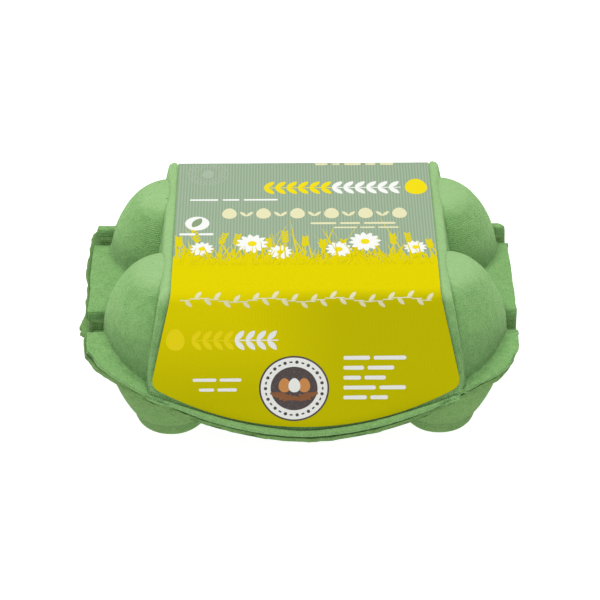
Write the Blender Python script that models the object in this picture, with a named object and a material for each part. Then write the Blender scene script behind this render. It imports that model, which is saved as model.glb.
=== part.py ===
"""Moulded-pulp carton for six eggs, shut, with a paper label wrapped over its lid.

Metres, +Z up. The carton's length lies along X, its front faces -Y and its hinge is at the back.
The origin is on the surface that the carton stands on, under the middle of its outline. Heights and
outlines are worked out about the midline between the two rows of cups, and the finished pieces are
then moved back by MIDLINE_Y.
"""

import math

import bmesh
import bpy

# Cups and domes
CUP_PITCH_X = 0.0470
CUP_PITCH_Y = 0.0454
CUP_COLUMNS = 3
ROUND_SIDES = 28
FOOT_RADIUS = 0.0085
SHOULDER_RADIUS = 0.0130
SHOULDER_HEIGHT = 0.0044
BRIM_RADIUS = 0.0222
BRIM_HEIGHT = 0.0370
FOOT_ARC_STEPS = 3
CUP_WALL_STEPS = 6
CUP_WALL_POWER = 0.8
DOME_RADIUS = 0.0222
DOME_SPRING_Z = 0.0394
DOME_RISE = 0.0302
DOME_SIDE_POWER = 1.25
DOME_RISE_POWER = 1.12
DOME_TOP_RISE = 0.0262
DOME_TOP_POWER = 12
DOME_SKIRT_DROP = 0.0200
DOME_SKIRT_FLARE = 0.0012
DOME_STEPS = 9

# Rim, where lid and tray meet
HALF_LENGTH = 0.0750
FRONT_Y = -0.0556
CORNER_Y = -0.0389
FRONT_OUTLINE_POWER = 2.8
BACK_Y = 0.0495
BACK_CORNER_Y = 0.0350
BACK_ROUND_START_X = 0.0420
BACK_ROUND_END_X = 0.0685
END_BOW = 0.0012
END_BOW_POWER = 4
RIM_Z = 0.0400
FRONT_RIM_Z = 0.0166
FRONT_DIP_POWER = 1.66
FRONT_RIM_WIDTH = 0.0034
CORNER_RIM_WIDTH = 0.0026
RIM_WIDTH_POWER = 4
APRON_SLOPE = 0.3
APRON_SLOPE_POWER = 3
APRON_TOP_Y = -0.0330
LID_LAYER = 0.0013
TRAY_LAYER = 0.0018
SEAM = 0.0005
SEAM_DEPTH = 0.0040
SEAM_OVERSHOOT = 0.0030
MIDLINE_Y = -(FRONT_Y + BACK_Y) / 2

# Web that joins the cups under the rim
WEB_Z = 0.0240
WEB_HALF_LENGTH = 0.0600
WEB_BACK_Y = 0.0390
APRON_KEEL_DROP = 0.0060
APRON_KEEL_INSET = 0.0025

# Recesses and ribs across each end of the rim
RECESSES = ((-0.0283, -0.0183), (0.0233, 0.0312))
RECESS_DEPTH = 0.0046
RECESS_WALL = 0.0012
RECESS_START_X = 0.0660
RECESS_RAMP = 0.0040
RIB_WIDTH = 0.0030
RIB_HEIGHT = 0.0009

# Raised saddle that carries the label
SADDLE_TOP_Z = 0.0655
SADDLE_HALF_DEPTH = 0.0400
SADDLE_MIDDLE_Y = 0.0006
SADDLE_HALF_WIDTH = 0.0481
SADDLE_SIDE_SLOPE = 0.20
PANEL_SLOPE = 0.28
SADDLE_FLOOR_Z = 0.0140
SADDLE_ROUND = 0.0034
SADDLE_ROUND_STEPS = 4

# Label
LABEL_THICKNESS = 0.00035
LABEL_GAP = 0.0003
LABEL_HALF_WIDTH = 0.04465
LABEL_FLARE = 0.238
LABEL_FRONT_Z = 0.0193
LABEL_CORNER_Z = 0.0336
LABEL_EDGE_POWER = 1.95
LABEL_BACK_Z = 0.0445
LABEL_CORNER_ROUND = 0.0022
LABEL_COLUMNS = 8
LABEL_CORNER_SHARES = (1 / 2, 5 / 6, 1.0)
LABEL_PANEL_STEPS = 5

# Mesh
GRID_STEP = 0.0065
RECESS_COLUMN_LEAD = 0.0030
END_COLUMN_INSET = 0.0020
MIDDLE_ROWS = (0.0020, 0.0130)
UNDER_LID_OVERSHOOT = 0.0200
MERGE = 1e-6
SHARP_ANGLE = math.radians(35.0)
QUARTER_TURN = math.radians(90.0)

# Finishes
PULP_COLOUR = (0.22, 0.41, 0.15)
PULP_ROUGHNESS = 0.95
PAPER_COLOUR = (0.62, 0.55, 0.01)
PAPER_ROUGHNESS = 0.5


def clear_scene():
    """Remove every object that is in the file."""
    for obj in list(bpy.data.objects):
        bpy.data.objects.remove(obj, do_unlink=True)


def material(name, colour, roughness):
    """Return a Principled material of one colour and roughness."""
    made = bpy.data.materials.new(name)
    made.use_nodes = True
    shader = made.node_tree.nodes["Principled BSDF"]
    shader.inputs["Base Color"].default_value = (*colour, 1.0)
    shader.inputs["Roughness"].default_value = roughness
    shader.inputs["Metallic"].default_value = 0.0
    return made


def finish_mesh(name, bm):
    """Turn a bmesh into a linked object with its faces triangulated and pointing out."""
    bmesh.ops.remove_doubles(bm, verts=bm.verts, dist=MERGE)
    bmesh.ops.triangulate(bm, faces=bm.faces)
    bmesh.ops.recalc_face_normals(bm, faces=bm.faces)
    mesh = bpy.data.meshes.new(name)
    bm.to_mesh(mesh)
    bm.free()
    obj = bpy.data.objects.new(name, mesh)
    bpy.context.scene.collection.objects.link(obj)
    return obj


def clamp(value):
    """Return the value held between 0 and 1."""
    return min(max(value, 0.0), 1.0)


def blend(low, high, value):
    """Return a smooth 0 to 1 step as value goes from low to high."""
    share = clamp((value - low) / (high - low))
    return share * share * (3.0 - 2.0 * share)


def mix(start, end, share):
    """Return the value a share of the way from start to end."""
    return start + (end - start) * share


def turned(name, profile, x, y):
    """Revolve a closed (radius, height) profile about the vertical line through x, y."""
    bm = bmesh.new()
    points = [bm.verts.new((x + radius, y, height)) for radius, height in profile]
    edges = [bm.edges.new(pair) for pair in zip(points, points[1:])]
    bmesh.ops.spin(
        bm,
        geom=points + edges,
        cent=(x, y, 0.0),
        axis=(0.0, 0.0, 1.0),
        angle=math.tau,
        steps=ROUND_SIDES,
        use_duplicate=False,
    )
    return finish_mesh(name, bm)


def cup_profile():
    """Return a cup's outside from the middle of its foot up to its brim and in again."""
    profile = [(0.0, 0.0)]
    for step in range(FOOT_ARC_STEPS + 1):
        turn = QUARTER_TURN * step / FOOT_ARC_STEPS
        radius = mix(FOOT_RADIUS, SHOULDER_RADIUS, math.sin(turn))
        profile.append((radius, SHOULDER_HEIGHT * (1.0 - math.cos(turn))))
    for step in range(1, CUP_WALL_STEPS + 1):
        rise = step / CUP_WALL_STEPS
        swell = math.sin(QUARTER_TURN * rise ** CUP_WALL_POWER)
        radius = mix(SHOULDER_RADIUS, BRIM_RADIUS, swell)
        profile.append((radius, mix(SHOULDER_HEIGHT, BRIM_HEIGHT, rise)))
    profile.append((0.0, BRIM_HEIGHT))
    return profile


def dome_profile():
    """Return a dome's outside from the foot of its skirt to its soft flat crown."""
    floor = DOME_SPRING_Z - DOME_SKIRT_DROP
    profile = [(0.0, floor), (DOME_RADIUS + DOME_SKIRT_FLARE, floor)]
    for step in range(DOME_STEPS + 1):
        turn = QUARTER_TURN * step / DOME_STEPS
        radius = DOME_RADIUS * max(math.cos(turn), 0.0) ** DOME_SIDE_POWER
        rise = DOME_RISE * math.sin(turn) ** DOME_RISE_POWER
        rise /= (1.0 + (rise / DOME_TOP_RISE) ** DOME_TOP_POWER) ** (1.0 / DOME_TOP_POWER)
        profile.append((radius if step < DOME_STEPS else 0.0, DOME_SPRING_Z + rise))
    return profile


def length_share(x):
    """Return how far x is out from the middle, as a share of half the length."""
    return clamp(abs(x) / HALF_LENGTH)


def front_y(x):
    """Return the rim's front edge at x."""
    return mix(FRONT_Y, CORNER_Y, length_share(x) ** FRONT_OUTLINE_POWER)


def back_y(x):
    """Return the rim's back edge at x: the hinge, a quarter ellipse round a dome, the end."""
    into_round = clamp((abs(x) - BACK_ROUND_START_X) / (BACK_ROUND_END_X - BACK_ROUND_START_X))
    return mix(BACK_CORNER_Y, BACK_Y, math.sqrt(1.0 - into_round * into_round))


def rim_width(x):
    """Return how far the rim's flat reaches in from its front edge at x."""
    return mix(FRONT_RIM_WIDTH, CORNER_RIM_WIDTH, length_share(x) ** RIM_WIDTH_POWER)


def end_share(x):
    """Return 1 over the two ends of the rim and 0 between them."""
    return blend(RECESS_START_X - RECESS_RAMP, RECESS_START_X, abs(x))


def recess_share(x, y):
    """Return 1 inside an end recess, 0 outside, and a steep ramp on its walls."""
    inside = 0.0
    for near, far in RECESSES:
        into = min(y - near, far - y) / RECESS_WALL
        inside = max(inside, clamp(into + 0.5))
    return inside * end_share(x)


def rib_share(x, y):
    """Return 1 on the raised rib behind each end recess and 0 elsewhere."""
    raised = 0.0
    for _, far in RECESSES:
        into = min(y - far, far + RIB_WIDTH - y) / RECESS_WALL
        raised = max(raised, clamp(into))
    return raised * end_share(x)


def seam_z(x, y):
    """Return the height at which the lid's rim lies on the tray's rim."""
    edge_z = mix(FRONT_RIM_Z, RIM_Z, length_share(x) ** FRONT_DIP_POWER)
    slope = APRON_SLOPE * length_share(x) ** APRON_SLOPE_POWER
    width = rim_width(x)
    inner_z = min(edge_z + width * slope, RIM_Z)
    from_edge = y - front_y(x)
    if from_edge <= width:
        height = mix(edge_z, inner_z, max(from_edge, 0.0) / width)
    else:
        rest = min((from_edge - width) / (APRON_TOP_Y - front_y(x) - width), 1.0)
        height = mix(inner_z, RIM_Z, rest)
    return height - RECESS_DEPTH * recess_share(x, y)


def rim_top(x, y):
    """Return the height of the lid rim's upper face."""
    return seam_z(x, y) + LID_LAYER + RIB_HEIGHT * rib_share(x, y)


def rim_underside(x, y):
    """Return the height of the tray's underside: its rim, and the web between the cups."""
    front = front_y(x) + rim_width(x)
    if abs(x) > WEB_HALF_LENGTH or y > WEB_BACK_Y or y < front + APRON_KEEL_INSET:
        return seam_z(x, y) - TRAY_LAYER
    if y > APRON_TOP_Y:
        return WEB_Z
    return min(WEB_Z, seam_z(x, front) - APRON_KEEL_DROP)


def columns(reach):
    """Return the grid's X stations, from end to end, with close ones at the end recesses."""
    inner = math.ceil(WEB_HALF_LENGTH / GRID_STEP)
    half = [WEB_HALF_LENGTH * i / inner for i in range(inner + 1)]
    half += [RECESS_START_X - RECESS_COLUMN_LEAD, RECESS_START_X]
    half += [HALF_LENGTH - SEAM_DEPTH, HALF_LENGTH - END_COLUMN_INSET, HALF_LENGTH]
    half += [HALF_LENGTH + reach] if reach else []
    return [-x for x in reversed(half[1:])] + half


def rows(x, reach):
    """Return the grid's Y stations at x, from the front edge to the back edge."""
    front = front_y(x)
    inner = front + rim_width(x)
    back = back_y(x)
    wall = RECESS_WALL / 2
    (near_1, far_1), (near_2, far_2) = RECESSES
    stations = [front - reach] if reach else []
    stations += [front, (front + inner) / 2, inner, (inner + APRON_TOP_Y) / 2, APRON_TOP_Y]
    stations += [near_1 - wall, near_1 + wall, far_1 - wall, far_1 + wall]
    stations += [far_1 + wall + RECESS_WALL, far_1 + RIB_WIDTH - RECESS_WALL, far_1 + RIB_WIDTH]
    stations += MIDDLE_ROWS
    stations += [near_2 - wall, near_2 + wall, far_2 - wall, far_2 + wall]
    stations += [(far_2 + wall + back) / 2, back]
    return stations + [back + reach] if reach else stations


def bowed(x, y):
    """Return x drawn in a little towards the rim's corners, so the ends bow out in the middle."""
    share = length_share(x) ** END_BOW_POWER
    return x - math.copysign(END_BOW * share * (y / CORNER_Y) ** 2, x)


def slab(name, top, bottom, reach=0.0, keep=None):
    """Make the closed solid between two height functions over the rim's outline.

    Args:
        name: the solid's name.
        top: height of its upper face at x, y.
        bottom: height of its lower face at x, y.
        reach: how far it stands out past the outline.
        keep: which of its cells are filled, told from a cell's middle; all of them if left out.
    """
    xs = columns(reach)
    grid = [[(x, y) for y in rows(x, reach)] for x in xs]
    bm = bmesh.new()
    upper = []
    lower = []
    for column in grid:
        upper.append([bm.verts.new((bowed(x, y), y, top(x, y))) for x, y in column])
        lower.append([bm.verts.new((bowed(x, y), y, bottom(x, y))) for x, y in column])
    sides = {}
    for i in range(len(xs) - 1):
        for j in range(len(grid[0]) - 1):
            corners = ((i, j), (i + 1, j), (i + 1, j + 1), (i, j + 1))
            middle_x = sum(grid[a][b][0] for a, b in corners) / len(corners)
            middle_y = sum(grid[a][b][1] for a, b in corners) / len(corners)
            if keep and not keep(middle_x, middle_y):
                continue
            bm.faces.new([upper[a][b] for a, b in corners])
            bm.faces.new([lower[a][b] for a, b in reversed(corners)])
            for start, end in zip(corners, corners[1:] + corners[:1]):
                if (end, start) in sides:
                    del sides[(end, start)]
                else:
                    sides[(start, end)] = True
    for (a, b), (c, d) in sides:
        bm.faces.new([lower[a][b], lower[c][d], upper[c][d], upper[a][b]])
    loose = [vert for vert in bm.verts if not vert.link_faces]
    bmesh.ops.delete(bm, geom=loose, context="VERTS")
    return finish_mesh(name, bm)


def in_seam(x, y):
    """Tell whether a grid cell lies where lid and tray part: the front and the two ends."""
    at_front = y < front_y(x) + rim_width(x)
    at_end = abs(x) > HALF_LENGTH - SEAM_DEPTH and y < BACK_CORNER_Y
    return at_front or at_end


def saddle():
    """Make the block with sloping sides and rounded edges that stands across the lid's middle."""
    bm = bmesh.new()
    bmesh.ops.create_cube(bm, size=2.0)
    for vert in bm.verts:
        x_side, y_side, z_side = vert.co
        z = SADDLE_TOP_Z if z_side > 0 else SADDLE_FLOOR_Z
        drop = SADDLE_TOP_Z - z
        vert.co.x = x_side * (SADDLE_HALF_WIDTH + SADDLE_SIDE_SLOPE * drop)
        vert.co.y = SADDLE_MIDDLE_Y + y_side * (SADDLE_HALF_DEPTH + PANEL_SLOPE * drop)
        vert.co.z = z
    shown = [e for e in bm.edges if max(v.co.z for v in e.verts) > SADDLE_FLOOR_Z + MERGE]
    bmesh.ops.bevel(
        bm,
        geom=shown,
        offset=SADDLE_ROUND,
        offset_type="OFFSET",
        segments=SADDLE_ROUND_STEPS,
        profile=0.5,
        affect="EDGES",
        material=-1,
    )
    return finish_mesh("saddle", bm)


def boolean(body, others, operation):
    """Join other objects to a body, or cut them from it, and remove them."""
    operands = bpy.data.collections.new("operands")
    bpy.context.scene.collection.children.link(operands)
    for obj in others:
        operands.objects.link(obj)
    step = body.modifiers.new(operation.lower(), "BOOLEAN")
    step.operation = operation
    step.operand_type = "COLLECTION"
    step.collection = operands
    step.solver = "EXACT"
    shape = body.evaluated_get(bpy.context.evaluated_depsgraph_get())
    mesh = bpy.data.meshes.new_from_object(shape)
    body.modifiers.clear()
    body.data = mesh
    for obj in others:
        bpy.data.objects.remove(obj, do_unlink=True)
    bpy.data.collections.remove(operands)


def cup_places():
    """Return the X, Y of each of the six cups."""
    middle = (CUP_COLUMNS - 1) / 2
    return [
        (CUP_PITCH_X * (column - middle), side * CUP_PITCH_Y / 2)
        for column in range(CUP_COLUMNS)
        for side in (-1, 1)
    ]


def build_carton(pulp):
    """Make the lid, rim and tray as the one moulding that they are, with the seam between rims."""
    lid = saddle()
    corners = [(x, y) for x, y in cup_places() if abs(x) > CUP_PITCH_X / 2]
    domes = [turned(f"dome_{i}", dome_profile(), x, y) for i, (x, y) in enumerate(corners)]
    boolean(lid, domes, "UNION")
    under_lid = slab(
        "under_lid",
        lambda x, y: seam_z(x, y) + LID_LAYER / 2,
        lambda x, y: 0.0,
        reach=UNDER_LID_OVERSHOOT,
    )
    boolean(lid, [under_lid], "DIFFERENCE")

    carton = slab("carton", rim_top, rim_underside)
    cups = [turned(f"cup_{i}", cup_profile(), x, y) for i, (x, y) in enumerate(cup_places())]
    boolean(carton, [lid] + cups, "UNION")
    seam = slab(
        "seam",
        lambda x, y: seam_z(x, y) + SEAM / 2,
        lambda x, y: seam_z(x, y) - SEAM / 2,
        reach=SEAM_OVERSHOOT,
        keep=in_seam,
    )
    boolean(carton, [seam], "DIFFERENCE")
    dress(carton, pulp)


def label_half_width(z):
    """Return half the label's width at height z: straight on top, flared down the panels."""
    return LABEL_HALF_WIDTH + LABEL_FLARE * max(SADDLE_TOP_Z - z, 0.0)


def label_path(front_z, lift):
    """Return the label's (y, z) line from its front edge, over the saddle, to its back edge.

    Args:
        front_z: height at which this line starts on the front panel.
        lift: distance off the saddle's surface.
    """
    turn = QUARTER_TURN - math.atan(PANEL_SLOPE)
    radius = SADDLE_ROUND / math.tan(turn / 2)
    arc_y = SADDLE_HALF_DEPTH - SADDLE_ROUND
    arc_z = SADDLE_TOP_Z - radius
    arc = []
    for step in range(SADDLE_ROUND_STEPS + 1):
        angle = turn * step / SADDLE_ROUND_STEPS
        out = radius + lift
        arc.append((arc_y + out * math.sin(angle), arc_z + out * math.cos(angle)))
    end_y, end_z = arc[-1]
    front = []
    for step in range(LABEL_PANEL_STEPS):
        z = mix(front_z, end_z, step / LABEL_PANEL_STEPS)
        front.append((-end_y - PANEL_SLOPE * (end_z - z), z))
    back = [(end_y + PANEL_SLOPE * (end_z - LABEL_BACK_Z), LABEL_BACK_Z)]
    line = front + [(-y, z) for y, z in reversed(arc)] + arc + back
    return [(SADDLE_MIDDLE_Y + y, z) for y, z in line]


def label_front_z(across):
    """Return the height of the label's curved front edge, across going from -1 to 1."""
    edge = mix(LABEL_FRONT_Z, LABEL_CORNER_Z, abs(across) ** LABEL_EDGE_POWER)
    into_corner = LABEL_CORNER_ROUND - (1.0 - abs(across)) * LABEL_HALF_WIDTH
    if into_corner <= 0.0:
        return edge
    return edge + LABEL_CORNER_ROUND - math.sqrt(LABEL_CORNER_ROUND ** 2 - into_corner ** 2)


def build_label(paper):
    """Make the thin paper band over the saddle."""
    straight = 1.0 - LABEL_CORNER_ROUND / LABEL_HALF_WIDTH
    half = [straight * i / LABEL_COLUMNS for i in range(LABEL_COLUMNS + 1)]
    half += [mix(straight, 1.0, share) for share in LABEL_CORNER_SHARES]
    across = [-a for a in reversed(half[1:])] + half
    bm = bmesh.new()
    layers = []
    for lift in (LABEL_GAP, LABEL_GAP + LABEL_THICKNESS):
        lines = []
        for a in across:
            path = label_path(label_front_z(a), lift)
            lines.append([bm.verts.new((a * label_half_width(z), y, z)) for y, z in path])
        layers.append(lines)
    inner, outer = layers
    last_line = len(across) - 1
    last_point = len(inner[0]) - 1
    for i in range(last_line):
        for j in range(last_point):
            bm.faces.new((outer[i][j], outer[i + 1][j], outer[i + 1][j + 1], outer[i][j + 1]))
            bm.faces.new((inner[i][j + 1], inner[i + 1][j + 1], inner[i + 1][j], inner[i][j]))
        for j in (0, last_point):
            bm.faces.new((inner[i][j], inner[i + 1][j], outer[i + 1][j], outer[i][j]))
    for i in (0, last_line):
        for j in range(last_point):
            bm.faces.new((inner[i][j], inner[i][j + 1], outer[i][j + 1], outer[i][j]))
    dress(finish_mesh("label", bm), paper)


def dress(obj, finish):
    """Give an object its one material, shade it smooth and set it back to the midline."""
    obj.data.materials.clear()
    obj.data.materials.append(finish)
    obj.data.shade_smooth()
    obj.data.set_sharp_from_angle(angle=SHARP_ANGLE)
    obj.location.y = MIDLINE_Y


def main():
    """Build the carton and its label."""
    clear_scene()
    build_carton(material("pulp", PULP_COLOUR, PULP_ROUGHNESS))
    build_label(material("paper", PAPER_COLOUR, PAPER_ROUGHNESS))


main()
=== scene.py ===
"""Looks of the shut egg carton: green moulded pulp with a printed paper label wrapped over it."""

import functools
import logging
import math
from collections.abc import Callable, Sequence
from dataclasses import dataclass, field
from enum import Enum

import bmesh
import bpy
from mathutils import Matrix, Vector, noise


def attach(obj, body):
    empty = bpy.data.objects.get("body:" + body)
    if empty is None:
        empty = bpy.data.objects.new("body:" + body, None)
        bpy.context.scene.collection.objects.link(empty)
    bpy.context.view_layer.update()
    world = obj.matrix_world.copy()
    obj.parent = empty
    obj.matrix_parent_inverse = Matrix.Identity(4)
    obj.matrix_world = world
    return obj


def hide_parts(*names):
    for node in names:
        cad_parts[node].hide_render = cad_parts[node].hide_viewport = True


LOG = logging.getLogger("egg_carton")

Socket = bpy.types.NodeSocket
Colour = tuple[float, float, float]
Point2 = tuple[float, float]
Point3 = tuple[float, float, float]
Band = tuple[float, float, float]
Outline = Callable[[float, float], Point2]

SHARP_ANGLE = math.radians(62.0)

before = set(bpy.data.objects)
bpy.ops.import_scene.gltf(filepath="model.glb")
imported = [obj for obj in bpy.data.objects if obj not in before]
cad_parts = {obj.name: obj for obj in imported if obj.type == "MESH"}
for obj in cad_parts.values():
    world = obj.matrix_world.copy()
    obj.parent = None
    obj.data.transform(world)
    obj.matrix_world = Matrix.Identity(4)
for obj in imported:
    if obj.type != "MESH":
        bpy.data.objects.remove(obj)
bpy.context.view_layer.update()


def clamp(value: float) -> float:
    """Return a value held between 0 and 1."""
    return min(max(value, 0.0), 1.0)


def blend(low: float, high: float, value: float) -> float:
    """Ease from 0 to 1 as a value goes from low to high, which may be the lower number."""
    share = clamp((value - low) / (high - low))
    return share * share * (3.0 - 2.0 * share)


def mix(start: float, end: float, share: float) -> float:
    """Return the value a share of the way from start to end."""
    return start + (end - start) * share


def ripple(x: float, y: float, size: float, seed: float) -> float:
    """Return a smooth uneven value, about -0.5 to 0.5, whose bumps are about size across."""
    return noise.noise(Vector((x / size, y / size, seed)))


def stations(low: float, high: float, bands: Sequence[Band], coarse: float) -> list[float]:
    """Place grid lines from low to high, closer together inside the bands.

    Args:
        low: first line.
        high: last line.
        bands: ranges with close lines, each as (low, high, step).
        coarse: step outside the bands.

    Returns:
        The places of the lines.
    """
    edges = sorted({low, high, *(e for band in bands for e in band[:2] if low < e < high)})
    lines = [low]
    for start, end in zip(edges, edges[1:]):
        middle = (start + end) / 2
        step = min([fine for a, b, fine in bands if a <= middle <= b] + [coarse])
        count = max(1, round((end - start) / step))
        lines += [mix(start, end, i / count) for i in range(1, count + 1)]
    return lines


def to_object(name: str, bm: bmesh.types.BMesh, finish: bpy.types.Material) -> bpy.types.Object:
    """Turn a bmesh into a finished piece that rides on the carton.

    Args:
        name: the piece's name.
        bm: its shape, which is freed.
        finish: its material.

    Returns:
        The new object.
    """
    mesh = bpy.data.meshes.new(name)
    bm.to_mesh(mesh)
    bm.free()
    mesh.materials.append(finish)
    mesh.shade_smooth()
    mesh.set_sharp_from_angle(angle=SHARP_ANGLE)
    piece = bpy.data.objects.new(name, mesh)
    bpy.context.scene.collection.objects.link(piece)
    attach(piece, "root")
    LOG.info("%s: %d faces", name, len(mesh.polygons))
    return piece


class Bench:
    """A material being wired up, with its Principled shader."""

    def __init__(self, name: str) -> None:
        """Start an empty Principled material.

        Args:
            name: the material's name.
        """
        self.material = bpy.data.materials.new(name)
        self.material.use_nodes = True
        self.tree = self.material.node_tree
        self.shader = self.tree.nodes["Principled BSDF"]
        self.place = self.add("ShaderNodeTexCoord").outputs["Object"]

    def feed(self, node: bpy.types.Node, values: dict[str | int, object]) -> None:
        """Give a node's inputs their values or links.

        Args:
            node: the node.
            values: a number, colour, vector or socket for each input, by its name or number.
        """
        for key, value in values.items():
            target = node.inputs[key]
            if isinstance(value, Socket):
                self.tree.links.new(value, target)
            else:
                target.default_value = (*value, 1.0) if target.type == "RGBA" else value

    def add(
        self, kind: str, values: dict[str | int, object] | None = None, **settings: object
    ) -> bpy.types.Node:
        """Add a node.

        Args:
            kind: its type.
            values: what its inputs get.
            **settings: its own properties.

        Returns:
            The node.
        """
        made = self.tree.nodes.new(kind)
        for key, value in settings.items():
            setattr(made, key, value)
        self.feed(made, values or {})
        return made

    def math(self, operation: str, first: object, second: object = 0.0) -> Socket:
        """Return what a Math node makes of numbers or sockets."""
        return self.add("ShaderNodeMath", {0: first, 1: second}, operation=operation).outputs[0]

    def plus(self, first: object, second: object) -> Socket:
        """Return a sum."""
        return self.math("ADD", first, second)

    def minus(self, first: object, second: object) -> Socket:
        """Return a difference."""
        return self.math("SUBTRACT", first, second)

    def times(self, first: object, second: object) -> Socket:
        """Return a product."""
        return self.math("MULTIPLY", first, second)

    def total(self, *terms: tuple[Socket, float]) -> Socket:
        """Return the sum of sockets, each times its weight."""
        return functools.reduce(self.plus, [self.times(socket, weight) for socket, weight in terms])

    def noise(self, scale: float, detail: float, stretch: Point3 = (1.0, 1.0, 1.0)) -> Socket:
        """Add a noise on Object coordinates and return its grey value.

        Args:
            scale: bumps in a metre.
            detail: finer layers on top.
            stretch: how each axis is scaled before the noise is read.

        Returns:
            The noise's value, about 0.3 to 0.7.
        """
        mapping = self.add("ShaderNodeMapping", {"Scale": stretch, "Vector": self.place})
        values = {"Scale": scale, "Detail": detail, "Vector": mapping.outputs[0]}
        return self.add("ShaderNodeTexNoise", values).outputs["Fac"]

    def step(self, value: Socket, low: float, high: float) -> Socket:
        """Ramp a value from 0 at low to 1 at high."""
        values = {"Value": value, "From Min": low, "From Max": high}
        return self.add("ShaderNodeMapRange", values, interpolation_type="SMOOTHSTEP").outputs[0]

    def split(self, vector: Socket) -> Sequence[Socket]:
        """Return the three parts of a vector."""
        return self.add("ShaderNodeSeparateXYZ", {0: vector}).outputs

    def hues(self, colour: Socket) -> Sequence[Socket]:
        """Return the three parts of a colour."""
        return self.add("ShaderNodeSeparateColor", {0: colour}).outputs

    def mix(self, share: object, first: object, second: object) -> Socket:
        """Mix two colours, each a value or a socket, by a share."""
        return self.add("ShaderNodeMix", {0: share, 6: first, 7: second}, data_type="RGBA").outputs[2]

    def bump(self, height: Socket, strength: float, depth: float) -> None:
        """Feed a height into the shader's normal."""
        made = self.add("ShaderNodeBump", {"Strength": strength, "Distance": depth, "Height": height})
        self.feed(self.shader, {"Normal": made.outputs[0]})


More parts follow.
